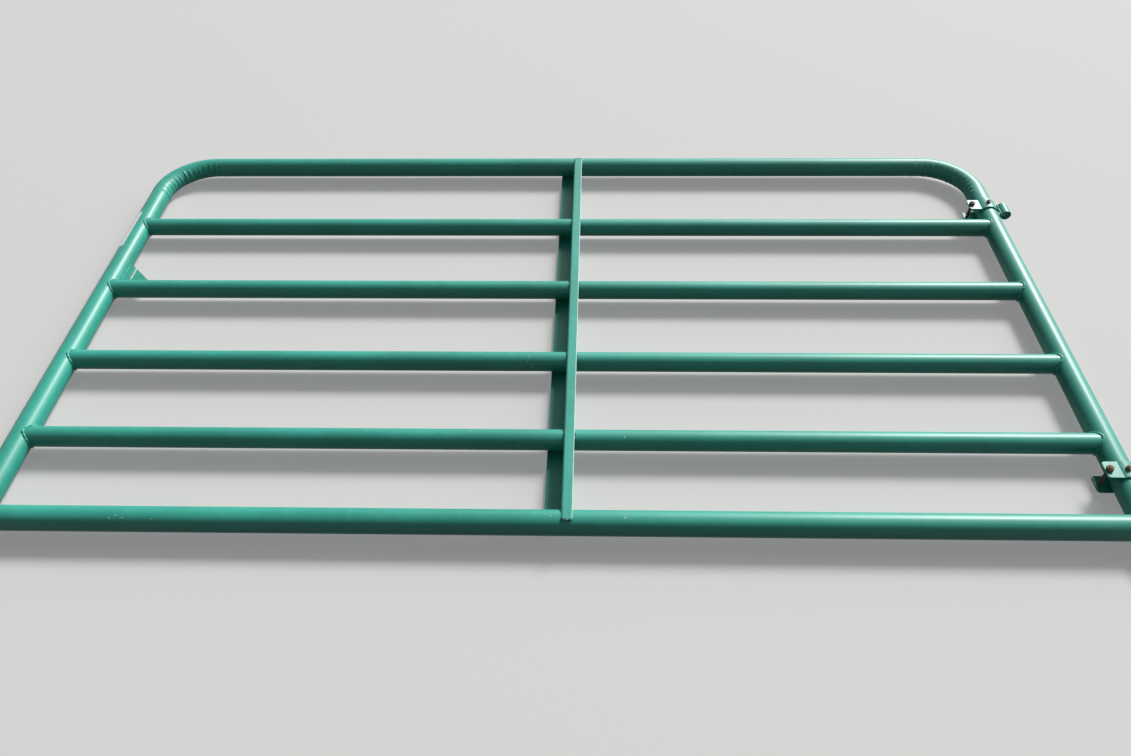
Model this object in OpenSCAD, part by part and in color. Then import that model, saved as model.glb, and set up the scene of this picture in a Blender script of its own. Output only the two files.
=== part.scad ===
// Tubular steel farm gate, lying flat: X runs along the rails towards the hinges,
// Y runs up the gate from the bottom rail to the top rail, Z is square to the gate.

/* [Outer frame] */
// Width over the two stiles
gate_w = 2320; // [1500:10:3700]
// Outside diameter of the frame tube
frame_d = 50.8; // [48:0.1:56]
// Wall of the frame tube
frame_wall = 1.6; // [1.2:0.1:3]
// Radius of the far corners, at the tube's centre line
corner_r = 127; // [100:1:150]
// Number of wrinkles that the bender left on the inside of each far corner
wrinkles = 14; // [2:1:14]
// Angle along the bend from one wrinkle to the next
wrinkle_pitch = 8; // [7:0.5:9]
// Height of the wrinkles above the tube
wrinkle_rise = 1.5; // [0.8:0.1:2]
// Radius of a wrinkle's round back
wrinkle_r = 4; // [3:0.5:4.5]
// Angle round the tube, from its inside, at which the wrinkles run out
wrinkle_fade = 60; // [50:5:75]

/* [Rails] */
// Outside diameter of the inner rails
rail_d = 44.5; // [38:0.1:46]
// Wall of the inner rails
rail_wall = 1.5; // [1.2:0.1:2.5]
// Clear height between the bottom rail and the next one
bay_1 = 158.4; // [140:0.1:220]
// Clear height of the second bay from the bottom
bay_2 = 184.5; // [120:0.5:240]
// Clear height of the third bay
bay_3 = 202.5; // [120:0.5:260]
// Clear height of the fourth bay
bay_4 = 208.5; // [120:0.5:280]
// Clear height of the bay below the top rail
bay_5 = 236.5; // [210:0.5:320]

/* [Centre brace] */
// Place of the middle of the brace's web, from the middle of the gate
brace_x = 21.5; // [-200:0.5:200]
// How far the far end of the brace stands to the right of its foot
brace_lean = 9.5; // [-20:0.5:20]
// Thickness of the folded sheet
brace_t = 2.5; // [2:0.1:4]
// Width of the front flange, over the fold
brace_front_w = 22; // [16:0.5:30]
// Width of the back flange, over the fold
brace_back_w = 38; // [20:0.5:45]
// Inside radius of the folds
brace_fold_r = 1.5; // [0.5:0.1:2]
// Radius to which the flanges' free edges are worn and painted round
brace_edge_r = 0.9; // [0.3:0.1:0.9]
// Length of the flanges past the bottom rail's axis
foot_lip = 8; // [2:0.5:10]
// Length of the flanges past the top rail's axis
head_lip = 3; // [2:0.5:10]
// Distance of the web's blunt ends from the same axes
web_nose = 12; // [8:0.5:16]
// Radial gap between a rail and its punched hole
brace_hole_gap = 1; // [0.5:0.1:1.2]

/* [Chain plate] */
// Length of the plate's two straight sides
plate_side = 76; // [60:1:100]
// Thickness of the plate
plate_t = 5; // [3:0.5:8]
// Width of the open slot
slot_w = 7.5; // [6:0.5:12]
// Distance from the stile to the middle of the slot
slot_off = 20; // [16:0.5:24]
// Distance from the rail to the start of the slot's round end
slot_foot = 16; // [12:0.5:24]

/* [Hinges] */
// Clear distance from rail 2 up to the upper hinge
upper_hinge_gap = 31.5; // [10:0.5:50]
// Clear distance from the lower hinge up to rail 5
lower_hinge_gap = 44; // [10:0.5:50]
// Width of the hinge straps, along the stile
strap_w = 40; // [32:1:50]
// Thickness of the hinge straps
strap_t = 4; // [3:0.5:6]
// Length of the straight clamping tabs, from the straps' round
tab_len = 31; // [27:0.5:40]
// Clear gap between the clamping tabs of the upper hinge
upper_tab_gap = 36; // [16:1:46]
// Clear gap between the clamping tabs of the lower hinge, which is less tight
lower_tab_gap = 44; // [16:1:46]
// Distance from a clamp bolt's axis to the tabs' ends
clamp_edge = 9; // [8:0.5:12]
// Radius of the tabs' corners
tab_corner_r = 7; // [3:1:10]
// Radius of the hollow where a strap leaves the stile
strap_bend_r = 3; // [1:0.5:4]
// Clear seam between the two straps on the eye's side
seam = 0.5; // [0.2:0.1:1.5]
// Distance from the stile's axis to the eye's axis
eye_off = 50; // [48:1:60]
// Outside diameter of the eye
eye_d = 27; // [25:0.5:30]
// Bore of the eye
eye_bore = 20; // [16:0.1:22]

/* [Bolts] */
// Diameter of the bolts that clamp the tabs together
clamp_d = 8; // [6:0.5:9]
// Diameter of the bolts that lock the straps to the stile
lock_d = 6; // [5:0.5:8]
// Clearance of a bolt in its hole, on the diameter
bolt_play = 1; // [0.5:0.1:1.5]
// Width of the clamp bolts' nuts across their flats
clamp_nut_w = 13; // [11:0.5:14]
// Width of the lock bolts' nuts across their flats
lock_nut_w = 10; // [9:0.5:13]
// Height of the clamp bolts' nuts
clamp_nut_h = 6.5; // [5:0.5:8]
// Height of the lock bolts' nuts
lock_nut_h = 5; // [4:0.5:8]
// Length of bolt that stands out of its nut
bolt_end = 1.5; // [1:0.5:12]
// Diameter of the clamp bolts' round heads
clamp_head_d = 17; // [14:0.5:19]
// Diameter of the lock bolts' round heads
lock_head_d = 14; // [12:0.5:17]
// Height of the bolts' round heads
head_h = 4.5; // [3:0.5:6]

/* [Welds] */
// Size of the weld beads
weld = 3; // [2:0.25:4]
// Length of the short beads that tie the brace to each rail
tack_len = 9; // [6:0.5:16]
// Distance from a stile's crest at which the beads round the rails stop
bead_stop = 10; // [8:0.5:12]
// Clear gap between two pieces' beads
weld_gap = 0.5; // [0.3:0.1:1]

/* [Hidden] */
$fn = 96;
paint = [0.10, 0.42, 0.36];
bare_steel = [0.45, 0.36, 0.28];

// Length by which a cutter runs past the face that it cuts
over = 1;

// Heights above the bottom rail's axis: rail_2 is the second from the top
frame_r = frame_d / 2;
rail_r = rail_d / 2;
rail_5_h = frame_r + bay_1 + rail_r;
rail_4_h = rail_5_h + rail_d + bay_2;
rail_3_h = rail_4_h + rail_d + bay_3;
rail_2_h = rail_3_h + rail_d + bay_4;
top_h = rail_2_h + rail_r + bay_5 + frame_r;
inner_rail_hs = [rail_2_h, rail_3_h, rail_4_h, rail_5_h];
stile_x = gate_w / 2 - frame_r;
// The bottom rail is as thick as the stiles, so its pointed tips are cut a little short
tip_cut = 3;

// The lower hinge hangs under rail 5, the upper one stands on rail 2
upper_hinge_h = rail_2_h + rail_r + upper_hinge_gap + strap_w / 2;
lower_hinge_h = rail_5_h - rail_r - lower_hinge_gap - strap_w / 2;
strap_r = frame_r + strap_t;
flat_z = seam / 2;

// The brace turns about the middle of its height; cutters across it reach this far
lean_angle = atan(brace_lean / top_h);
brace_cut = 2 * (brace_front_w + brace_back_w);

// The origin is below the middle of the whole gate, level with the lowest bolt head
mid_x = (eye_off + eye_d / 2 - frame_r) / 2;
mid_y = top_h / 2;
low_z = -strap_r - head_h;

module in_place() {
    translate([-mid_x, -mid_y, -low_z]) children();
}

// Round bars along the three axes, given by their two ends
module bar_x(d, x0, x1, y = 0, z = 0) {
    translate([x0, y, z]) rotate([0, 90, 0]) cylinder(d = d, h = x1 - x0);
}

module bar_y(d, y0, y1, x = 0, z = 0) {
    translate([x, y0, z]) rotate([-90, 0, 0]) cylinder(d = d, h = y1 - y0);
}

module bar_z(d, z0, z1, x = 0, y = 0) {
    translate([x, y, z0]) cylinder(d = d, h = z1 - z0);
}

// Both stiles as solid bars, to cope what is welded to them
module stile_bars() {
    for (side = [-1, 1]) bar_y(frame_d, -frame_r - over, top_h, side * stile_x);
}

// Wrinkles on the inside of the right far corner: rings round the tube, shifted towards the
// inside of the bend so that they stand out of the tube only there
module corner_wrinkles() {
    shift = wrinkle_rise / (1 - cos(wrinkle_fade));
    ring_r = frame_r + wrinkle_rise - shift - wrinkle_r;
    for (i = [0 : wrinkles - 1]) {
        turn = 45 + (i - (wrinkles - 1) / 2) * wrinkle_pitch;
        // The outermost wrinkles lie on the straight tube past the ends of the bend
        in_bend = max(0, min(90, turn));
        past = (turn - in_bend) * PI / 180 * corner_r;
        translate([stile_x - corner_r, top_h - corner_r, 0]) rotate([0, 0, in_bend])
            translate([corner_r - shift, past, 0]) rotate([90, 0, 0]) rotate_extrude()
                translate([ring_r, 0]) circle(r = wrinkle_r, $fn = 24);
    }
}

// The path of the bent frame tube, filled to diameter d; extra lengthens its open feet
module frame_path(d, extra = 0) {
    bend_y = top_h - corner_r;
    bend_x = stile_x - corner_r;
    for (side = [0, 1]) mirror([side, 0, 0]) {
        bar_y(d, -frame_r - extra, bend_y, stile_x);
        translate([bend_x, bend_y, 0])
            rotate_extrude(angle = 90) translate([corner_r, 0]) circle(d = d);
    }
    bar_x(d, -bend_x, bend_x, top_h);
}

module outer_frame() {
    color(paint) in_place() difference() {
        union() {
            frame_path(frame_d);
            for (side = [0, 1]) mirror([side, 0, 0]) corner_wrinkles();
        }
        frame_path(frame_d - 2 * frame_wall, over);
        for (h = [upper_hinge_h, lower_hinge_h])
            bar_z(lock_d + bolt_play, -frame_r - over, frame_r + over, stile_x, h);
    }
}

// A straight rail between the stiles, its ends coped to fit round them
module rail(d, wall, h, tip = 0) {
    color(paint) in_place() difference() {
        bar_x(d, tip - stile_x, stile_x - tip, h);
        bar_x(d - 2 * wall, -stile_x, stile_x, h);
        stile_bars();
    }
}

// The bead all round the end of a rail of diameter d at the right stile
module rail_bead(d, h) {
    difference() {
        intersection() {
            bar_x(d + 2 * weld, stile_x - frame_d, stile_x - bead_stop, h);
            bar_y(frame_d + 2 * weld, h - d, h + d, stile_x);
        }
        bar_x(d, stile_x - 2 * frame_d, stile_x, h);
        bar_y(frame_d, h - 2 * d, h + 2 * d, stile_x);
    }
}

// The beads of the right stile; on top they stop short of its crest
module stile_welds() {
    for (h = inner_rail_hs) rail_bead(rail_d, h);
    rail_bead(frame_d, 0);
}

module left_welds() {
    color(paint) in_place() mirror([1, 0, 0]) stile_welds();
}

module right_welds() {
    color(paint) in_place() stile_welds();
}

// One folded flange with its fold, seen along the brace: it lies on the level y = 0
// and runs to the right from a web that comes up at x = 0
module flange_outline(width) {
    fold = brace_fold_r + brace_t;
    flat = width - brace_edge_r;
    translate([fold, 0]) square([flat - fold, brace_t]);
    translate([fold, brace_edge_r]) square([width - fold, brace_t - 2 * brace_edge_r]);
    for (y = [brace_edge_r, brace_t - brace_edge_r]) translate([flat, y]) circle(r = brace_edge_r);
    intersection() {
        translate([fold, -brace_fold_r]) difference() {
            circle(r = fold);
            circle(r = brace_fold_r);
        }
        translate([0, -brace_fold_r]) square(fold);
    }
}

// Outline of the Z-shaped brace: the front flange points right, the back one left
module brace_outline() {
    translate([0, brace_fold_r - frame_r]) square([brace_t, frame_d - 2 * brace_fold_r]);
    translate([0, frame_r]) flange_outline(brace_front_w);
    translate([brace_t, -frame_r]) rotate(180) flange_outline(brace_back_w);
}

// Places what is drawn along an upright brace at x = 0
module in_brace() {
    translate([brace_x, mid_y, 0]) rotate([0, 0, -lean_angle])
        translate([0, -mid_y, 0]) children();
}

// The flanges lie on the crests of the top and bottom rails, the web stands between them
module centre_brace() {
    color(paint) in_place() difference() {
        in_brace() difference() {
            translate([0, top_h + head_lip, 0]) rotate([90, 0, 0])
                linear_extrude(height = foot_lip + top_h + head_lip) brace_outline();
            for (y = [-foot_lip - over, top_h - web_nose])
                translate([-brace_cut / 2, y, -frame_r])
                    cube([brace_cut, web_nose + foot_lip + over, frame_d]);
        }
        for (y = [0, top_h]) bar_x(frame_d, brace_x - brace_cut, brace_x + brace_cut, y);
        for (h = inner_rail_hs)
            bar_x(rail_d + 2 * brace_hole_gap, brace_x - brace_cut, brace_x + brace_cut, h);
    }
}

// The bead in front of a flange's end at y = 0, on the crest that it lies on
module end_bead(run) {
    difference() {
        bar_x(2 * weld, brace_fold_r, run, 0, frame_r);
        cube([run + over, frame_r, 2 * frame_r]);
    }
}

// The bead that ties the free edge of the front flange to the crest of the rail at h
module tack(h) {
    difference() {
        in_brace() difference() {
            bar_y(2 * weld, h - tack_len / 2, h + tack_len / 2, brace_front_w, frame_r - weld / 2);
            translate([0, h - tack_len, frame_r]) cube([brace_front_w, 2 * tack_len, weld]);
        }
        bar_x(rail_d, brace_x, brace_x + brace_cut, h);
    }
}

module brace_welds() {
    color(paint) in_place() {
        for (far = [0, 1], turn = [0, 180]) difference() {
            lip = far == 0 ? foot_lip : head_lip;
            run = (turn == 0 ? brace_front_w : brace_back_w) - brace_t / 2;
            in_brace() translate([brace_t / 2, far * top_h, 0]) rotate([0, turn, 0])
                mirror([0, far, 0]) translate([0, -lip, 0]) end_bead(run);
            bar_x(frame_d, brace_x - brace_cut, brace_x + brace_cut, far * top_h);
        }
        for (h = inner_rail_hs) tack(h);
    }
}

// The corner that the chain plate fills; the plate is clipped there to clear the rail's bead
plate_x = frame_r - stile_x;
plate_y = rail_3_h + rail_r;
plate_clip = 2 * (weld + weld_gap);

module chain_plate() {
    color(paint) in_place() difference() {
        translate([plate_x, plate_y, -plate_t / 2]) linear_extrude(height = plate_t)
            difference() {
                polygon([[plate_clip + over, -over], [plate_side, -over], [plate_side, 0],
                         [0, plate_side], [-over, plate_side], [-over, plate_clip + over]]);
                translate([slot_off, slot_foot]) circle(d = slot_w);
                translate([slot_off - slot_w / 2, slot_foot]) square([slot_w, plate_side]);
            }
        stile_bars();
        bar_x(rail_d, -stile_x, stile_x, rail_3_h);
    }
}

// Beads along the plate's two straight sides, on both faces
module plate_welds() {
    end = plate_side - 2 * weld;
    color(paint) in_place() difference() {
        for (z = [-plate_t / 2, plate_t / 2]) {
            bar_x(2 * weld, plate_x + plate_clip, plate_x + end, plate_y, z);
            bar_y(2 * weld, plate_y + plate_clip, plate_y + end, plate_x, z);
        }
        translate([plate_x - weld - over, plate_y - weld - over, -plate_t / 2])
            cube([plate_side + weld, plate_side + weld, plate_t]);
        stile_bars();
        bar_x(rail_d, -stile_x, stile_x, rail_3_h);
    }
}

// Metal that rounds the hollow to the right of a disc of radius r, above the line y = level
module hollow_fill(r, level) {
    f = strap_bend_r;
    x = sqrt(pow(r + f, 2) - pow(level + f, 2));
    difference() {
        polygon([[0, level - over], [x, level - over], [x, level + f],
                 [x * r / (r + f), (level + f) * r / (r + f)], [0, level]]);
        translate([x, level + f]) circle(r = f);
    }
}

// Distance from the stile's axis to the ends of clamping tabs that are gap apart
function tab_reach(gap) = sqrt(pow(strap_r, 2) - pow(gap / 2 + strap_t, 2)) + tab_len;

// Outline of the front strap, seen along the stile: clamping tab, half round and eye flat
module strap_outline(gap) {
    tab_z = gap / 2;
    reach = tab_reach(gap);
    difference() {
        union() {
            intersection() {
                circle(r = strap_r);
                union() {
                    translate([0, flat_z]) square(strap_r);
                    translate([-strap_r, tab_z]) square(strap_r);
                }
            }
            translate([-reach, tab_z]) square([reach, strap_t]);
            translate([0, flat_z]) square([eye_off, strap_t]);
            mirror([1, 0]) hollow_fill(strap_r, tab_z + strap_t);
            hollow_fill(strap_r, flat_z + strap_t);
        }
        circle(r = frame_r);
        translate([eye_off, 0]) circle(d = eye_d);
    }
}

// Extrudes an outline along the stile over the width of the hinge at height h
module on_stile(h) {
    translate([stile_x, h + strap_w / 2, 0]) rotate([90, 0, 0])
        linear_extrude(height = strap_w) children();
}

// What is cut away to round the two corners of a clamping tab that ends at x = -reach
module tab_corners(reach) {
    inset = strap_w / 2 - tab_corner_r;
    for (side = [0, 1]) mirror([0, side, 0]) difference() {
        translate([-reach - over, inset, 0])
            cube([tab_corner_r + over, tab_corner_r + over, strap_r]);
        bar_z(2 * tab_corner_r, -over, strap_r + over, tab_corner_r - reach, inset);
    }
}

module front_strap(h, gap) {
    color(paint) in_place() difference() {
        on_stile(h) strap_outline(gap);
        translate([stile_x, h, 0]) {
            tab_corners(tab_reach(gap));
            bar_z(clamp_d + bolt_play, 0, strap_r, clamp_edge - tab_reach(gap));
            bar_z(lock_d + bolt_play, 0, strap_r + over);
        }
    }
}

// The back strap is the front one turned over about the plane of the gate
module back_strap(h, gap) {
    translate([0, 0, -2 * low_z]) mirror([0, 0, 1]) front_strap(h, gap);
}

module eye(h) {
    color(paint) in_place() translate([stile_x + eye_off, h, 0]) difference() {
        bar_y(eye_d, -strap_w / 2, strap_w / 2);
        bar_y(eye_bore, -strap_w / 2 - over, strap_w / 2 + over);
    }
}

// Beads in the hollows between the eye and the two straps
module eye_welds(h) {
    color(paint) in_place() on_stile(h) for (side = [0, 1]) mirror([0, side])
        difference() {
            intersection() {
                translate([eye_off, 0]) circle(d = eye_d + 2 * weld);
                translate([0, flat_z + strap_t]) square([eye_off, weld]);
            }
            translate([eye_off, 0]) circle(d = eye_d);
        }
}

// A round-headed bolt through two faces at -z and z, with room for a nut on the upper one
module bolt(z, d, head_d, nut_h) {
    cap_r = (pow(head_d / 2, 2) + head_h * head_h) / (2 * head_h);
    bar_z(d, -z - over, z + nut_h + bolt_end);
    intersection() {
        translate([0, 0, cap_r - head_h - z]) sphere(r = cap_r);
        bar_z(head_d, -z - head_h - over, -z);
    }
}

// A hexagon nut that lies on the face at z
module nut(z, d, w, h) {
    difference() {
        translate([0, 0, z]) cylinder(d = w / cos(30), h = h, $fn = 6);
        bar_z(d, z - over, z + h + over);
    }
}

module clamp_bolt(h, gap) {
    color(bare_steel) in_place() translate([stile_x + clamp_edge - tab_reach(gap), h, 0])
        bolt(gap / 2 + strap_t, clamp_d, clamp_head_d, clamp_nut_h);
}

module clamp_nut(h, gap) {
    color(bare_steel) in_place() translate([stile_x + clamp_edge - tab_reach(gap), h, 0])
        nut(gap / 2 + strap_t, clamp_d, clamp_nut_w, clamp_nut_h);
}

module lock_bolt(h) {
    color(bare_steel) in_place() translate([stile_x, h, 0])
        bolt(strap_r, lock_d, lock_head_d, lock_nut_h);
}

module lock_nut(h) {
    color(bare_steel) in_place() translate([stile_x, h, 0])
        nut(strap_r, lock_d, lock_nut_w, lock_nut_h);
}

outer_frame();
rail(frame_d, frame_wall, 0, tip_cut);  // bottom_rail
rail(rail_d, rail_wall, rail_2_h);  // rail_2
rail(rail_d, rail_wall, rail_3_h);  // rail_3
rail(rail_d, rail_wall, rail_4_h);  // rail_4
rail(rail_d, rail_wall, rail_5_h);  // rail_5
centre_brace();
chain_plate();
left_welds();
right_welds();
brace_welds();
plate_welds();
front_strap(upper_hinge_h, upper_tab_gap);  // upper_front_strap
back_strap(upper_hinge_h, upper_tab_gap);  // upper_back_strap
eye(upper_hinge_h);  // upper_eye
eye_welds(upper_hinge_h);  // upper_eye_welds
clamp_bolt(upper_hinge_h, upper_tab_gap);  // upper_clamp_bolt
clamp_nut(upper_hinge_h, upper_tab_gap);  // upper_clamp_nut
lock_bolt(upper_hinge_h);  // upper_lock_bolt
lock_nut(upper_hinge_h);  // upper_lock_nut
front_strap(lower_hinge_h, lower_tab_gap);  // lower_front_strap
back_strap(lower_hinge_h, lower_tab_gap);  // lower_back_strap
eye(lower_hinge_h);  // lower_eye
eye_welds(lower_hinge_h);  // lower_eye_welds
clamp_bolt(lower_hinge_h, lower_tab_gap);  // lower_clamp_bolt
clamp_nut(lower_hinge_h, lower_tab_gap);  // lower_clamp_nut
lock_bolt(lower_hinge_h);  // lower_lock_bolt
lock_nut(lower_hinge_h);  // lower_lock_nut
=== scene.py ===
import math
import random

import bmesh
import bpy
from mathutils import Matrix, Vector


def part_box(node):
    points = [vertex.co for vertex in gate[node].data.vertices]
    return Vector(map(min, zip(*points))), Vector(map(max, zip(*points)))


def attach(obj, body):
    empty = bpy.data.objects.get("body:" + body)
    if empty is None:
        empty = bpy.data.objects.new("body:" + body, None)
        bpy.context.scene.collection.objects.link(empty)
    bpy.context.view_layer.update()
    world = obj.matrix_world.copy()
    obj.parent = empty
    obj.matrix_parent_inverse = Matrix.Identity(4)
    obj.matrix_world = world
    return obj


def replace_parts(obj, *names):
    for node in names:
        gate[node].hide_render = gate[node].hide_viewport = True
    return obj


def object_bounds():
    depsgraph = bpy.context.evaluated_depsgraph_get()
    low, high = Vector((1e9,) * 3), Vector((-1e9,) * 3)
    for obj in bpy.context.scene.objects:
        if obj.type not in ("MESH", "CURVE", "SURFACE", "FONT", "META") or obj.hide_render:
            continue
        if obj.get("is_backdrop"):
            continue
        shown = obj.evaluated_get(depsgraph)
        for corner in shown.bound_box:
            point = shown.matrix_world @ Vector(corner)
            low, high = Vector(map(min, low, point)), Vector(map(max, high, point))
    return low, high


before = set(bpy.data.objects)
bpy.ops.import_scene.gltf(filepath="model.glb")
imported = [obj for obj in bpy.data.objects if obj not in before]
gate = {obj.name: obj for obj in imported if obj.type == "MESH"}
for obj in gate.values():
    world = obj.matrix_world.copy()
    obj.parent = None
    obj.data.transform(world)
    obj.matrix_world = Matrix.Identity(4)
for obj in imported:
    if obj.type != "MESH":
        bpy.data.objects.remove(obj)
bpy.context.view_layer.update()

# The frame: one round steel tube, bent to two stiles and a top rail, with open feet. The
# bender pressed wrinkles into the inside of both far corners. The whole gate was dipped
# in a glossy green enamel, which has a fine orange peel and a few pale flecks.
frame_low, frame_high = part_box("outer_frame")
frame_r = (frame_high.z - frame_low.z) / 2
plane_z = (frame_high.z + frame_low.z) / 2
left_x = frame_low.x + frame_r
right_x = frame_high.x - frame_r
foot_y = frame_low.y
bottom_y = frame_low.y + frame_r
top_y = frame_high.y - frame_r
corner_r = 0.127
frame_wall = 0.0016
tube_sides = 96
stile_run = top_y - corner_r - foot_y
bend_run = math.pi / 2 * corner_r
whole_run = 2 * stile_run + 2 * bend_run + right_x - left_x - 2 * corner_r
degree_run = math.radians(1) * corner_r
ridge_count = 14
first_ridge = -7.5
ridge_spacing = 8.0
up = Vector((0, 0, 1))


def on_frame(run):
    """The axis point at that length from the left stile's foot, and the way to the inside
    of the frame there. Past the middle of the top rail it is the left half, mirrored."""
    near = min(run, whole_run - run)
    if near < stile_run:
        point = Vector((left_x, foot_y + near, plane_z))
        inside = Vector((1, 0, 0))
    elif near < stile_run + bend_run:
        turn = (near - stile_run) / corner_r
        inside = Vector((math.cos(turn), -math.sin(turn), 0))
        middle = Vector((left_x + corner_r, top_y - corner_r, plane_z))
        point = middle - inside * corner_r
    else:
        point = Vector((left_x + corner_r + near - stile_run - bend_run, top_y, plane_z))
        inside = Vector((0, -1, 0))
    if run > whole_run / 2:
        point.x = left_x + right_x - point.x
        inside.x = -inside.x
    return point, inside


def bender_wrinkles(seed):
    """The ridges of one corner, each with its place along the bend in degrees, its height,
    its half width in degrees and how far it runs up and down round the tube."""
    draw = random.Random(seed)
    ridges = []
    for i in range(ridge_count):
        ridges.append(
            (
                first_ridge + ridge_spacing * i + draw.uniform(-0.9, 0.9),
                draw.uniform(0.0012, 0.0021),
                draw.uniform(1.9, 2.7),
                math.radians(draw.uniform(48, 66)),
                math.radians(draw.uniform(48, 66)),
            )
        )
    return ridges


def wrinkle_height(ridges, along, turn):
    """How far the ridges lift the tube's skin, at that many degrees along the bend and that
    turn round the tube from its inner side."""
    height = 0.0
    for place, rise, half, reach_up, reach_down in ridges:
        off = abs(along - place) / half
        fade = abs(turn) / (reach_up if turn > 0 else reach_down)
        if off < 1 and fade < 1:
            height += rise * (0.5 + 0.5 * math.cos(math.pi * off)) * (1 - fade**3) ** 0.7
    return height


def skin(shape, rings, closed):
    """Joins rings of as many points to a tube, closed on itself or capped at both ends."""
    sides = len(rings[0])
    for i in range(len(rings) if closed else len(rings) - 1):
        first, second = rings[i], rings[(i + 1) % len(rings)]
        for k in range(sides):
            m = (k + 1) % sides
            shape.faces.new((first[k], first[m], second[m], second[k]))
    if not closed:
        shape.faces.new(rings[0][::-1])
        shape.faces.new(rings[-1])


def frame_tube():
    """The bent tube's mesh with its real wall and its wrinkled corners. Its rings stand
    close together round the bends and far apart on the straights."""
    fine_start = stile_run - 15 * degree_run
    fine_step = 0.7 * degree_run
    fine_count = 171
    near = [stile_run * i / 12 for i in range(12)]
    near += [fine_start + fine_step * i for i in range(fine_count)]
    near += [stile_run + bend_run + 20 * degree_run, whole_run * 0.35, whole_run * 0.42]
    near.sort()
    runs = near + [whole_run / 2] + [whole_run - run for run in reversed(near)]
    left_ridges = bender_wrinkles(5)
    right_ridges = bender_wrinkles(8)
    shape = bmesh.new()

    def ring(run, radius, wrinkled):
        point, inside = on_frame(run)
        ridges = left_ridges if run < whole_run / 2 else right_ridges
        along = (min(run, whole_run - run) - stile_run) / degree_run
        made = []
        for k in range(tube_sides):
            turn = 2 * math.pi * k / tube_sides
            turn = turn - 2 * math.pi if turn > math.pi else turn
            size = radius + (wrinkle_height(ridges, along, turn) if wrinkled else 0)
            away = inside * math.cos(turn) + up * math.sin(turn)
            made.append(shape.verts.new(point + away * size))
        return made

    outer = [ring(run, frame_r, True) for run in runs]
    plain = [run for i, run in enumerate(runs) if i % 6 == 0 or run in (0, whole_run)]
    inner = [ring(run, frame_r - frame_wall, False) for run in reversed(plain)]
    skin(shape, outer + inner, True)
    return shape


def built(name, shape, sharp=40):
    """The shape as a piece that is shaded smooth, but for edges sharper than that angle.
    Broad faces keep their own light, so that only the eased edges shade round."""
    if shape.calc_volume(signed=True) < 0:
        bmesh.ops.reverse_faces(shape, faces=shape.faces)
    mesh = bpy.data.meshes.new(name)
    shape.to_mesh(mesh)
    shape.free()
    mesh.polygons.foreach_set("use_smooth", [True] * len(mesh.polygons))
    mesh.set_sharp_from_angle(angle=math.radians(sharp))
    piece = bpy.data.objects.new(name, mesh)
    bpy.context.scene.collection.objects.link(piece)
    light = piece.modifiers.new("broad_faces", "WEIGHTED_NORMAL")
    light.keep_sharp = True
    return piece


class Wire:
    """One output of a shader node. Sums and products of wires add Math nodes."""

    def __init__(self, tree, socket=None):
        self.tree = tree
        self.socket = socket

    def node(self, kind, settings, sockets, out):
        made = self.tree.nodes.new("ShaderNode" + kind)
        for name, value in settings.items():
            setattr(made, name, value)
        for name, value in sockets.items():
            port = next(s for s in made.inputs if s.identifier == name)
            if isinstance(value, Wire):
                self.tree.links.new(value.socket, port)
            else:
                port.default_value = value
        return Wire(self.tree, next(s for s in made.outputs if s.identifier == out))

    def math(self, operation, first, second=0.0):
        sockets = {"Value": first, "Value_001": second}
        return self.node("Math", {"operation": operation}, sockets, "Value")

    def __add__(self, other):
        return self.math("ADD", self, other)

    def __radd__(self, other):
        return self.math("ADD", other, self)

    def __sub__(self, other):
        return self.math("SUBTRACT", self, other)

    def __rsub__(self, other):
        return self.math("SUBTRACT", other, self)

    def __mul__(self, other):
        return self.math("MULTIPLY", self, other)

    def __rmul__(self, other):
        return self.math("MULTIPLY", other, self)

    def step(self, low, high):
        """0 below low, 1 above high and a smooth rise between."""
        return self.node(
            "MapRange",
            {"interpolation_type": "SMOOTHSTEP", "clamp": True},
            {"Value": self, "From Min": low, "From Max": high},
            "Result",
        )


def new_material(name):
    """A material with an empty tree and the wire that its nodes start from."""
    made = bpy.data.materials.new(name)
    made.use_nodes = True
    made.node_tree.nodes.clear()
    return made, Wire(made.node_tree)


def noise(wires, where, scale, detail=3.0, rough=0.5):
    return wires.node(
        "TexNoise",
        {},
        {"Vector": where, "Scale": scale, "Detail": detail, "Roughness": rough},
        "Fac",
    )


def blended(under, over, mask):
    return mask.node(
        "Mix",
        {"data_type": "RGBA"},
        {"Factor_Float": mask, "A_Color": under, "B_Color": over},
        "Result_Color",
    )


def stretched(wires, where, scale):
    return wires.node(
        "VectorMath", {"operation": "MULTIPLY"}, {"Vector": where, "Vector_001": scale}, "Vector"
    )


def finish_shader(wires, constants, colour, roughness, height, metallic=0.0, relief=0.0004):
    """The one shader of a painted or bare steel piece, with its relief as a bump."""
    bump = wires.node("Bump", {}, {"Strength": 1.0, "Distance": relief, "Height": height}, "Normal")
    sockets = {
        "Base Color": colour,
        "Roughness": roughness,
        "Metallic": metallic,
        "Normal": bump,
        **constants,
    }
    shader = wires.node("BsdfPrincipled", {}, sockets, "BSDF")
    output = wires.tree.nodes.new("ShaderNodeOutputMaterial")
    wires.tree.links.new(shader.socket, output.inputs["Surface"])


deep_green = (0.014, 0.275, 0.210, 1)
light_green = (0.026, 0.365, 0.285, 1)
lime_white = (0.62, 0.68, 0.62, 1)
# The next pale is a painted highlight, for the glint along the brace flange's edge.
painted_glint_pale = (0.50, 0.72, 0.66, 1)
dull_dust = (0.20, 0.30, 0.24, 1)
gloss = {"Coat Weight": 0.5, "Coat Roughness": 0.36, "Specular IOR Level": 0.34}


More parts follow.
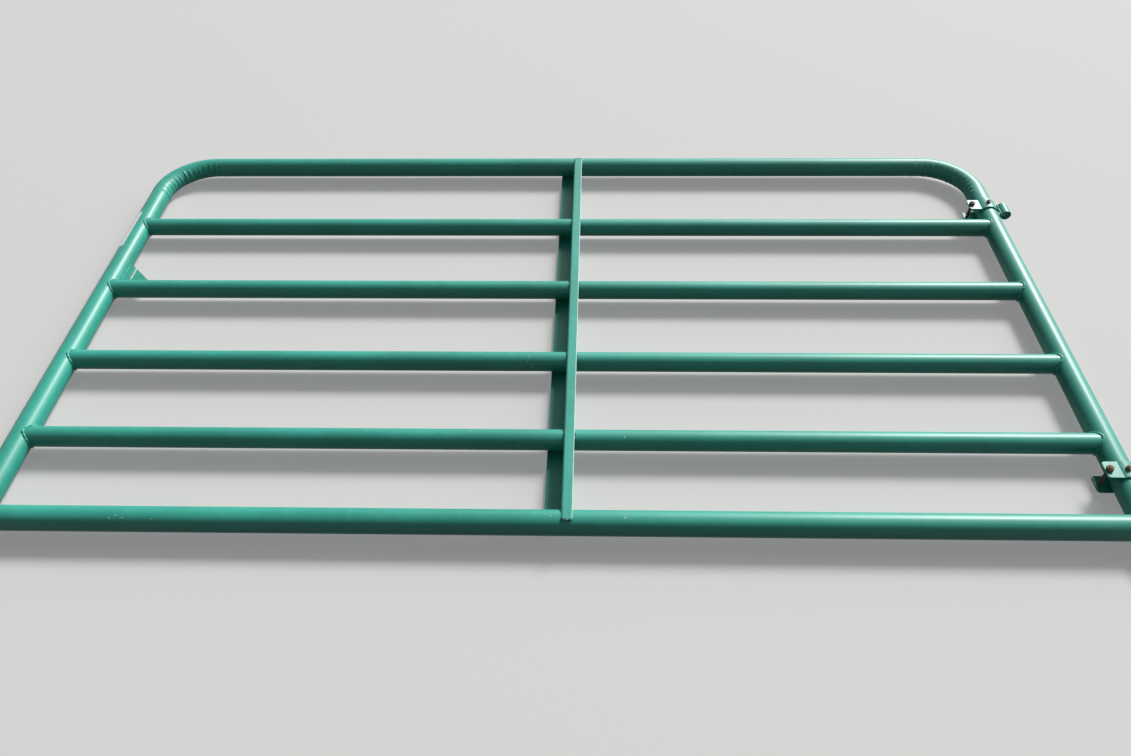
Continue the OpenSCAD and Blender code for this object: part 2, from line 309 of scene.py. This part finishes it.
def enamel(name, along, flecks=(), wear=1.0, glint_edge=None):
    """Green enamel on a piece that runs along the vector. Each fleck is a pale spot, as
    (x, y, z, radius) in metres on the piece's surface. A glinting edge is given as (x, lean, z):
    the enamel is painted pale to the right of the line x + lean * y, above the level z, as a painted
    highlight."""
    made, wires = new_material(name)
    where = wires.node("TexCoord", {}, {}, "Object")
    facing = wires.node("NewGeometry", {}, {}, "Normal")
    lying = wires.node("SeparateXYZ", {}, {"Vector": facing}, "Z").step(0.2, 1.0)
    drift = noise(wires, where, 4.0, 3.0)
    mottle = noise(wires, where, 55.0, 4.0, 0.55)
    peel = noise(wires, where, 330.0, 2.0)
    lengthwise = tuple(6.0 if part else 260.0 for part in along)
    drawn = noise(wires, stretched(wires, where, lengthwise), 1.0, 3.0)
    grain = noise(wires, where, 900.0, 3.0)
    tone = (drift * 0.55 + mottle * 0.25 + drawn * 0.2).step(0.36, 0.64)
    colour = blended(deep_green, light_green, tone)
    dust = lying * mottle.step(0.5, 0.8) * grain.step(0.45, 0.6) * (0.30 * wear)
    colour = blended(colour, dull_dust, dust)
    cells = wires.node(
        "TexVoronoi",
        {},
        {"Vector": where, "Scale": 30.0, "Randomness": 1.0},
        "Distance",
    )
    specked = noise(wires, where, 9.0, 2.0).step(0.52, 0.56)
    speck = (1 - cells.step(0.016, 0.030)) * specked * wear
    # Pale spots at the given places, blended towards the pale white of the specks.
    for x, y, z, radius in flecks:
        off = wires.node(
            "VectorMath",
            {"operation": "DISTANCE"},
            {"Vector": where, "Vector_001": (x, y, z)},
            "Value",
        )
        pale_spot = 1 - (off + grain * (radius * 2.2)).step(radius * 1.55, radius * 1.75)
        speck = wires.math("MAXIMUM", speck, pale_spot)
    colour = blended(colour, lime_white, speck * 0.85)
    # A painted highlight: a pale line along the given edge, where light would glint on it.
    if glint_edge:
        x, lean, z = glint_edge
        axes = {axis: wires.node("SeparateXYZ", {}, {"Vector": where}, axis) for axis in "XYZ"}
        beyond = axes["X"] - axes["Y"] * lean - x + (mottle - 0.5) * 0.0012
        glinting = beyond.step(0.0, 0.0003) * axes["Z"].step(z - 0.0001, z + 0.0001)
        colour = blended(colour, painted_glint_pale, glinting * 0.9)
    roughness = 0.54 + mottle * 0.08 + dust * 0.3 + speck * 0.3
    height = peel * 0.07 + mottle * 0.10 + drawn * 0.05 + speck * 0.25
    finish_shader(wires, gloss, colour, roughness, height)
    return made


def coat(piece, material):
    piece.data.materials.clear()
    piece.data.materials.append(material)


def fitted(piece, material):
    """The piece in its finish, riding on the one body."""
    coat(piece, material)
    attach(piece, "root")
    return piece


along_x = (True, False, False)
along_y = (False, True, False)

tube = built("bent_frame_tube", frame_tube())
drill = bmesh.new()
lock_hole_r = 0.0035
for level in ("upper", "lower"):
    low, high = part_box(level + "_lock_bolt")
    place = Matrix.Translation(((low.x + high.x) / 2, (low.y + high.y) / 2, plane_z))
    bmesh.ops.create_cone(
        drill,
        cap_ends=True,
        segments=32,
        radius1=lock_hole_r,
        radius2=lock_hole_r,
        depth=3 * frame_r,
        matrix=place,
    )
holes = built("lock_bolt_holes", drill)
cut = tube.modifiers.new("lock_bolt_holes", "BOOLEAN")
cut.operation = "DIFFERENCE"
cut.solver = "EXACT"
cut.object = holes
evaluated = tube.evaluated_get(bpy.context.evaluated_depsgraph_get())
drilled = bpy.data.meshes.new_from_object(evaluated)
drilled.set_sharp_from_angle(angle=math.radians(40))
tube.modifiers.clear()
tube.data = drilled
bpy.data.objects.remove(holes)
frame_enamel = enamel("frame_enamel", along_y)
fitted(tube, frame_enamel)
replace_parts(tube, "outer_frame")

# A blank strip of thin white film is pasted lengthwise on the outer side of the left
# stile, round which it curves.
strip_low_y = bottom_y + 0.825
strip_high_y = bottom_y + 0.970
strip_paste = 0.00002
strip_thick = 0.00015
strip_parts = 12
strip_turns = (math.radians(11), math.radians(62))
film, wires = new_material("white_film")
where = wires.node("TexCoord", {}, {}, "Object")
cloud = noise(wires, where, 60.0, 4.0, 0.6)
finish_shader(
    wires,
    {"Coat Weight": 0.8, "Coat Roughness": 0.12},
    blended((0.94, 0.95, 0.94, 1), (0.87, 0.89, 0.87, 1), cloud.step(0.4, 0.7)),
    0.35 + cloud * 0.1,
    cloud * 0.2,
)
strip = bmesh.new()
layers = []
for lift in (0.0, strip_thick):
    reach = frame_r + lift + strip_paste
    rows = []
    for i in range(strip_parts + 1):
        y = strip_low_y + (strip_high_y - strip_low_y) * i / strip_parts
        row = []
        for k in range(strip_parts + 1):
            turn = strip_turns[0] + (strip_turns[1] - strip_turns[0]) * k / strip_parts
            x = left_x - reach * math.sin(turn)
            row.append(strip.verts.new((x, y, plane_z + reach * math.cos(turn))))
        rows.append(row)
    for i in range(strip_parts):
        for k in range(strip_parts):
            strip.faces.new((rows[i][k], rows[i + 1][k], rows[i + 1][k + 1], rows[i][k + 1]))
    layers.append(rows)
rims = []
for rows in layers:
    outer_edge = [row[-1] for row in rows[1:-1]]
    crest_edge = [row[0] for row in rows[-2:0:-1]]
    rims.append(rows[0] + outer_edge + rows[-1][::-1] + crest_edge)
for i in range(len(rims[0])):
    m = (i + 1) % len(rims[0])
    strip.faces.new((rims[0][i], rims[0][m], rims[1][m], rims[1][i]))
bmesh.ops.recalc_face_normals(strip, faces=strip.faces)
fitted(built("film_strip", strip), film)

# The bottom rail is a straight tube of the same size, the four inner rails are a size
# smaller. Their ends are sawn to fit round the stiles, and they are painted with the rest.
rail_r = (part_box("rail_2")[1].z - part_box("rail_2")[0].z) / 2
rail_names = ("rail_2", "rail_3", "rail_4", "rail_5")
rail_y = {name: (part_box(name)[0].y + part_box(name)[1].y) / 2 for name in rail_names}
middle_x = (left_x + right_x) / 2


def pale_spots(y, radius, places):
    """Flecks on a rail's near side, from their distances to the gate's middle and their
    turns down from the crest."""
    return [
        (
            middle_x + x,
            y - radius * math.sin(math.radians(turn)),
            plane_z + radius * math.cos(math.radians(turn)),
            size,
        )
        for x, turn, size in places
    ]


fleck_places = {
    "bottom_rail": (
        (-0.003, 2, 0.0024),
        (0.140, 8, 0.0030),
        (-0.856, 30, 0.0030),
        (-0.844, 18, 0.0024),
        (-0.830, 29, 0.0028),
        (-0.773, 33, 0.0024),
    ),
    "rail_4": ((-0.066, 14, 0.0024), (-0.068, 42, 0.0022), (-0.057, 68, 0.0030)),
    "rail_5": ((-0.121, 52, 0.0030), (-0.104, 78, 0.0028), (-0.077, 77, 0.0034), (0.144, 20, 0.0028)),
}
coat(
    gate["bottom_rail"],
    enamel("bottom_rail_enamel", along_x, pale_spots(bottom_y, frame_r, fleck_places["bottom_rail"])),
)
for name in rail_names:
    coat(
        gate[name],
        enamel(name + "_enamel", along_x, pale_spots(rail_y[name], rail_r, fleck_places.get(name, ()))),
    )

# The centre brace is folded from sheet steel to a Z, punched for the rails and welded to
# the frame at both ends. Along the front flange's free edge its enamel is painted pale, a
# painted highlight where light glints on the edge.
brace_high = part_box("centre_brace")[1]
brace_aside = 0.0095
brace_lean = brace_aside / (top_y - bottom_y)
glint_width = 0.0014
glint_depth = 0.0024
glint_line = brace_high.x - glint_width - brace_lean * brace_high.y
glint_edge_line = (glint_line, brace_lean, brace_high.z - glint_depth)
coat(gate["centre_brace"], enamel("brace_enamel", along_y, wear=0.6, glint_edge=glint_edge_line))

# The welds: a welder ran a string of short overlapping drops wherever two pieces meet,
# all round each rail's end and in short runs elsewhere, and the enamel covers them.
weld_enamel = enamel("weld_enamel", along_y, wear=0.5)
drop_length = 0.0034
weld_r = 0.0025
weld_lift = 0.0006
saddle_ease = 0.0015
weld_step = 0.0004


def weld_string(shape, path, size, seed, closed, sides=12):
    """Adds a lumpy string of weld along a path of (point, outward) pairs."""
    draw = random.Random(seed)
    wave = [draw.uniform(0, 2 * math.pi) for _ in range(4)]
    count = len(path)
    points = [point for point, _ in path]
    lengths = [0.0]
    for i in range(count):
        lengths.append(lengths[-1] + (points[(i + 1) % count] - points[i]).length)
    total = lengths[-1] if closed else lengths[-2]
    drops = max(2, round(total / drop_length))
    bulges = [max(1, round(total / length)) for length in (0.026, 0.011, 0.0062)]
    rings = []
    for i, (point, outward) in enumerate(path):
        if closed:
            ahead = points[(i + 1) % count] - points[i - 1]
        else:
            ahead = points[min(i + 1, count - 1)] - points[max(i - 1, 0)]
        ahead.normalize()
        out = (outward - ahead * ahead.dot(outward)).normalized()
        across = ahead.cross(out)
        part = lengths[i] / total * 2 * math.pi
        swell = 0.98 + 0.08 * math.sin(bulges[0] * part + wave[0])
        swell += 0.06 * math.sin(bulges[1] * part + wave[1])
        swell += 0.04 * math.sin(bulges[2] * part + wave[2])
        width = size * swell
        if not closed:
            end = min(lengths[i], total - lengths[i]) / size
            width *= math.sqrt(max(1 - max(1 - end, 0) ** 2, 0.04))
        middle = point + out * size * 0.08 * math.sin(bulges[1] * part + wave[3])
        ring = []
        for k in range(sides):
            turn = 2 * math.pi * k / sides
            drop = (lengths[i] / total * drops + 0.35 * math.cos(turn)) % 1.0
            reach = width * (0.97 + 0.07 * math.sqrt(math.sin(math.pi * drop)))
            away = out * math.cos(turn) + across * math.sin(turn)
            ring.append(shape.verts.new(middle + away * reach))
        rings.append(ring)
    skin(shape, rings, closed)


def round_rail(y, radius, side, count=420):
    """Where a rail of that radius meets a stile: the saddle line and its way out."""
    stile = right_x if side > 0 else left_x
    path = []
    for i in range(count):
        turn = 2 * math.pi * i / count
        dy, dz = radius * math.cos(turn), radius * math.sin(turn)
        reach = math.sqrt(max(frame_r**2 - dz**2, 0.0) + saddle_ease**2)
        rail_way = Vector((0, math.cos(turn), math.sin(turn)))
        stile_way = Vector((-side * reach, 0, dz)).normalized()
        out = (rail_way + stile_way).normalized()
        saddle = Vector((stile - side * reach, y + dy, plane_z + dz))
        path.append((saddle + out * weld_lift, out))
    return path


for label, side in (("left", -1), ("right", 1)):
    strings = bmesh.new()
    for i, name in enumerate(rail_names):
        weld_string(strings, round_rail(rail_y[name], rail_r, side), weld_r, 10 * i + side, True)
    weld_string(strings, round_rail(bottom_y, frame_r, side), weld_r, 50 + side, True)
    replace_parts(fitted(built(label + "_rail_welds", strings), weld_enamel), label + "_welds")


def loose_boxes(node):
    """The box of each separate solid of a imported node."""
    shape = bmesh.new()
    shape.from_mesh(gate[node].data)
    bmesh.ops.remove_doubles(shape, verts=shape.verts, dist=1e-6)
    left = set(shape.verts)
    boxes = []
    while left:
        reached = [left.pop()]
        for vert in reached:
            for edge in vert.link_edges:
                other = edge.other_vert(vert)
                if other in left:
                    left.remove(other)
                    reached.append(other)
        places = [vert.co for vert in reached]
        low = Vector(min(place[axis] for place in places) for axis in range(3))
        high = Vector(max(place[axis] for place in places) for axis in range(3))
        boxes.append((low, high))
    shape.free()
    return sorted(boxes, key=lambda box: tuple(box[0]))


def short_runs(node, fill, seed, material=weld_enamel):
    """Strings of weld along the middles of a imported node's plain beads."""
    strings = bmesh.new()
    for i, (low, high) in enumerate(loose_boxes(node)):
        size = high - low
        axis = max(range(3), key=lambda part: size[part])
        across = (sum(size) - size[axis]) / 2
        middle = (low + high) / 2
        width = across / 2 * fill
        way = Vector([1.0 if part == axis else 0.0 for part in range(3)])
        count = max(12, round(size[axis] / weld_step))
        start = middle - way * (size[axis] / 2)
        outward = middle - Vector((middle.x, middle.y, plane_z))
        path = [(start + way * (size[axis] * k / (count - 1)), outward) for k in range(count)]
        weld_string(strings, path, width, seed + i, False)
    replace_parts(fitted(built(node + "_strings", strings), material), node)


# Enamel for the brace welds: dark patches of weld scale, partly painted shade, and pale patches that
# are a painted highlight, the glint on the weld lumps.
scale_and_shade_dark = (0.014, 0.040, 0.034, 1)
weld_glint_pale = (0.38, 0.56, 0.50, 1)
weld_scale_and_glints, wires = new_material("weld_enamel_scale_and_glints")
where = wires.node("TexCoord", {}, {}, "Object")
patches = noise(wires, where, 190.0, 3.0, 0.6)
crumbs = noise(wires, where, 700.0, 3.0, 0.6)
weld_scale_and_glint_colour = blended(light_green, scale_and_shade_dark, patches.step(0.50, 0.56))
weld_scale_and_glint_colour = blended(weld_scale_and_glint_colour, weld_glint_pale, (1 - patches).step(0.55, 0.60) * 0.9)
finish_shader(wires, {}, weld_scale_and_glint_colour, 0.42 + crumbs * 0.2, crumbs * 0.6 + patches * 0.3)
short_runs("brace_welds", 1.0, 70, weld_scale_and_glints)
short_runs("plate_welds", 0.95, 90)

# The chain plate is a small flame-cut corner plate with a slot, open at its slanted side,
# which holds a link of the fastening chain. Its edges are ground a little round.
plate_ease = 0.0006


def eased(node, ease):
    """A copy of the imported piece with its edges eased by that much, as a file and the
    enamel leave them."""
    shape = bmesh.new()
    shape.from_mesh(gate[node].data)
    bmesh.ops.remove_doubles(shape, verts=shape.verts, dist=1e-6)
    hard = [edge for edge in shape.edges if edge.calc_face_angle(0) > math.radians(25)]
    bmesh.ops.bevel(
        shape,
        geom=hard,
        offset=ease,
        offset_type="OFFSET",
        segments=3,
        profile=0.5,
        affect="EDGES",
        clamp_overlap=False,
    )
    return built(node + "_eased", shape)


plate_enamel = enamel("plate_enamel", along_y)
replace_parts(fitted(eased("chain_plate", plate_ease), plate_enamel), "chain_plate")

# Two alike hinges clamp the right stile: two straps, bent from flat bar, with an eye of
# thick tube welded between their ends.
hinge_enamel = enamel("hinge_enamel", along_x)
strap_ease = 0.0006
eye_ease = 0.0008
hinge_parts = (("front_strap", strap_ease), ("back_strap", strap_ease), ("eye", eye_ease))
for level in ("upper", "lower"):
    for part, ease in hinge_parts:
        node = level + "_" + part
        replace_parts(fitted(eased(node, ease), hinge_enamel), node)
    short_runs(level + "_eye_welds", 0.95, 110)

# The bolts: a stout one draws each hinge's tabs together and a thinner one locks the
# straps to the stile. They have round heads and rolled threads, were put in after the
# painting and have begun to rust.
rust_dark = (0.060, 0.030, 0.018, 1)
rust_light = (0.24, 0.12, 0.06, 1)
zinc = (0.33, 0.31, 0.28, 1)


def rusted(name, bare_part):
    """Rust over zinc plating. The larger the bare part, the more of the zinc shows."""
    made, wires = new_material(name)
    where = wires.node("TexCoord", {}, {}, "Object")
    broad = noise(wires, where, 160.0, 5.0, 0.6)
    fine = noise(wires, where, 900.0, 4.0, 0.7)
    colour = blended(rust_dark, rust_light, (broad * 0.5 + fine * 0.5).step(0.35, 0.65))
    bare = broad.step(0.62 - bare_part, 0.72 - bare_part)
    colour = blended(colour, zinc, bare * 0.8)
    finish_shader(wires, {}, colour, 0.75 - bare * 0.3, fine * 0.5 + broad * 0.3, bare * 0.8)
    return made


def bolt_shape(low, high, shank_r, pitch, thread):
    """A round-headed bolt through the box's middle, head down, threaded at its top end."""
    shape = bmesh.new()
    x, y = (low.x + high.x) / 2, (low.y + high.y) / 2
    head_r = (high.x - low.x) / 2
    head_h = 0.0045
    rim_ease = 0.0003
    cap_r = (head_r**2 + head_h**2) / (2 * head_h)
    stations = []
    for i in range(13):
        rise = head_h * (i / 12) ** 1.6
        radius = math.sqrt(max(cap_r**2 - (cap_r - rise) ** 2, 0))
        stations.append((low.z + rise, max(radius, 0.0002), 0.0))
    stations[-1] = (low.z + head_h - rim_ease, head_r, 0.0)
    stations.append((low.z + head_h, head_r - rim_ease, 0.0))
    stations.append((low.z + head_h, shank_r, 0.0))
    stations.append((high.z - thread - pitch, shank_r, 0.0))
    steps = round(thread / (pitch / 8))
    for i in range(steps + 1):
        z = high.z - thread + (thread - pitch * 0.5) * i / steps
        stations.append((z, shank_r, min(1.0, i / 8)))
    stations.append((high.z, shank_r - pitch * 0.5, 0.0))
    sides = 48
    rings = []
    for z, radius, cut in stations:
        ring = []
        for k in range(sides):
            turn = 2 * math.pi * k / sides
            phase = ((z - low.z) / pitch - k / sides) % 1.0
            groove = cut * pitch * 0.55 * (1 - abs(2 * phase - 1))
            reach = radius - groove
            ring.append(shape.verts.new((x + reach * math.cos(turn), y + reach * math.sin(turn), z)))
        rings.append(ring)
    skin(shape, rings, False)
    return shape


def nut_shape(low, high, hole_r, turned):
    """A hexagon nut with cone chamfers at both ends, in the box's middle."""
    shape = bmesh.new()
    x, y = (low.x + high.x) / 2, (low.y + high.y) / 2
    flat_r = (high.y - low.y) / 2
    sides = 96
    face_r = flat_r * 0.97

    def corner(k):
        turn = 2 * math.pi * k / sides
        return flat_r / math.cos((turn + math.pi / 6) % (math.pi / 3) - math.pi / 6)

    def ring(reach, z):
        made = []
        for k in range(sides):
            turn = 2 * math.pi * k / sides + math.radians(turned)
            r = reach(k)
            made.append(shape.verts.new((x + r * math.cos(turn), y + r * math.sin(turn), z(k))))
        return made

    slope = math.tan(math.radians(30))
    drop = [max(corner(k) - face_r, 0) * slope for k in range(sides)]
    rings = [
        ring(lambda k: hole_r + 0.0004, lambda k: low.z),
        ring(lambda k: face_r, lambda k: low.z),
        ring(corner, lambda k: low.z + drop[k]),
        ring(corner, lambda k: high.z - drop[k]),
        ring(lambda k: face_r, lambda k: high.z),
        ring(lambda k: hole_r + 0.0007, lambda k: high.z),
        ring(lambda k: hole_r, lambda k: high.z - 0.0006),
        ring(lambda k: hole_r, lambda k: low.z + 0.0004),
    ]
    skin(shape, rings, True)
    return shape


bolt_rust = rusted("bolt_rust", 0.0)
nut_rust = rusted("nut_rust", 0.06)
turns = {"upper_clamp": 12, "upper_lock": 40, "lower_clamp": 33, "lower_lock": 5}
threads = (("clamp", 0.004, 0.00125, 0.024), ("lock", 0.003, 0.001, 0.010))
for level in ("upper", "lower"):
    for kind, shank_r, pitch, thread in threads:
        bolt = f"{level}_{kind}_bolt"
        nut = f"{level}_{kind}_nut"
        shape = bolt_shape(*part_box(bolt), shank_r, pitch, thread)
        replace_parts(fitted(built(bolt + "_turned", shape, 50), bolt_rust), bolt)
        shape = nut_shape(*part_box(nut), shank_r, turns[f"{level}_{kind}"])
        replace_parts(fitted(built(nut + "_chamfered", shape, 25), nut_rust), nut)

# The stage: a pale floor without a join, which shows its pale tone to the camera and in
# reflections but throws little light back up. A soft sun stands low behind on the right
# in a broad pale glow, where the gate's bright edges come from.
reach = 60.0
floor_mesh = bpy.data.meshes.new("floor")
floor_mesh.from_pydata(
    [(-reach, -reach, 0), (reach, -reach, 0), (reach, reach, 0), (-reach, reach, 0)], [], [(0, 1, 2, 3)]
)
floor = bpy.data.objects.new("floor", floor_mesh)
bpy.context.scene.collection.objects.link(floor)
floor_paint, wires = new_material("floor_paint")
shown = wires.node("LightPath", {}, {}, "Is Camera Ray")
for ray in ("Is Glossy Ray", "Is Transmission Ray"):
    shown = wires.math("MAXIMUM", shown, wires.node("LightPath", {}, {}, ray))
floor_tone = blended((0.034, 0.037, 0.038, 1), (0.44, 0.44, 0.435, 1), shown)
floor_glow = blended((0, 0, 0, 1), (0.23, 0.23, 0.23, 1), shown)
finish_shader(
    wires,
    {"Specular IOR Level": 0.0, "Emission Color": floor_glow, "Emission Strength": 1.0},
    floor_tone,
    1.0,
    0.0,
)
coat(floor, floor_paint)
floor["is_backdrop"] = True

world = bpy.data.worlds.new("studio")
bpy.context.scene.world = world
world.use_nodes = True
world.node_tree.nodes.clear()
air = Wire(world.node_tree)
seen = air.node("LightPath", {}, {}, "Is Camera Ray")
for ray in ("Is Glossy Ray", "Is Transmission Ray"):
    seen = air.math("MAXIMUM", seen, air.node("LightPath", {}, {}, ray))
sky = air.node("Background", {}, {"Color": (0.80, 0.92, 1.0, 1), "Strength": 0.05}, "Background")
wall = air.node("Background", {}, {"Color": (0.98, 0.99, 1.0, 1), "Strength": 0.75}, "Background")
mixed = air.node("MixShader", {}, {"Fac": seen, "Shader": sky, "Shader_001": wall}, "Shader")
world_out = world.node_tree.nodes.new("ShaderNodeOutputWorld")
world.node_tree.links.new(mixed.socket, world_out.inputs["Surface"])


def bearing(azimuth, elevation):
    """The way from the gate to a light, from its compass bearing off +Y and its height."""
    a, e = math.radians(azimuth), math.radians(elevation)
    return Vector((math.sin(a) * math.cos(e), math.cos(a) * math.cos(e), math.sin(e)))


def hung(name, data, way, distance):
    """The lamp at that distance from the gate's middle, looking at it."""
    lamp = bpy.data.objects.new(name, data)
    lamp.location = way * distance
    lamp.rotation_euler = way.to_track_quat("Z", "Y").to_euler()
    bpy.context.scene.collection.objects.link(lamp)


sun = bpy.data.lights.new("sun", "SUN")
sun.energy = 4.0
sun.angle = math.radians(14)
sun.color = (1.0, 0.985, 0.96)
hung("sun", sun, bearing(33, 36), 4.0)

glow = bpy.data.lights.new("glow", "AREA")
glow.shape = "RECTANGLE"
glow.size = 16.0
glow.size_y = 7.0
glow.energy = 880.0
hung("glow", glow, bearing(42, 30), 12.0)

# The camera stands at the near side and looks down over the bottom rail at the gate, as
# in the photograph.
camera_data = bpy.data.cameras.new("camera")
camera_data.sensor_width = 36.0
camera_data.lens = 27.76
camera = bpy.data.objects.new("camera", camera_data)
bpy.context.scene.collection.objects.link(camera)
pitch, yaw, roll = (math.radians(v) for v in (46.8043, -2.0373, -1.1890))
ahead = Vector((math.sin(yaw) * math.cos(pitch), math.cos(yaw) * math.cos(pitch), -math.sin(pitch)))
right = Vector((math.cos(yaw), -math.sin(yaw), 0))
above = right.cross(ahead)
right_rolled = right * math.cos(roll) + above * math.sin(roll)
above_rolled = above * math.cos(roll) - right * math.sin(roll)
turned = Matrix((right_rolled, above_rolled, -ahead)).transposed()
camera.matrix_world = Matrix.Translation((0.045916, -1.559187, 1.455415)) @ turned.to_4x4()
bpy.context.scene.camera = camera
bpy.context.scene.view_settings.view_transform = "Standard"

low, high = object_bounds()
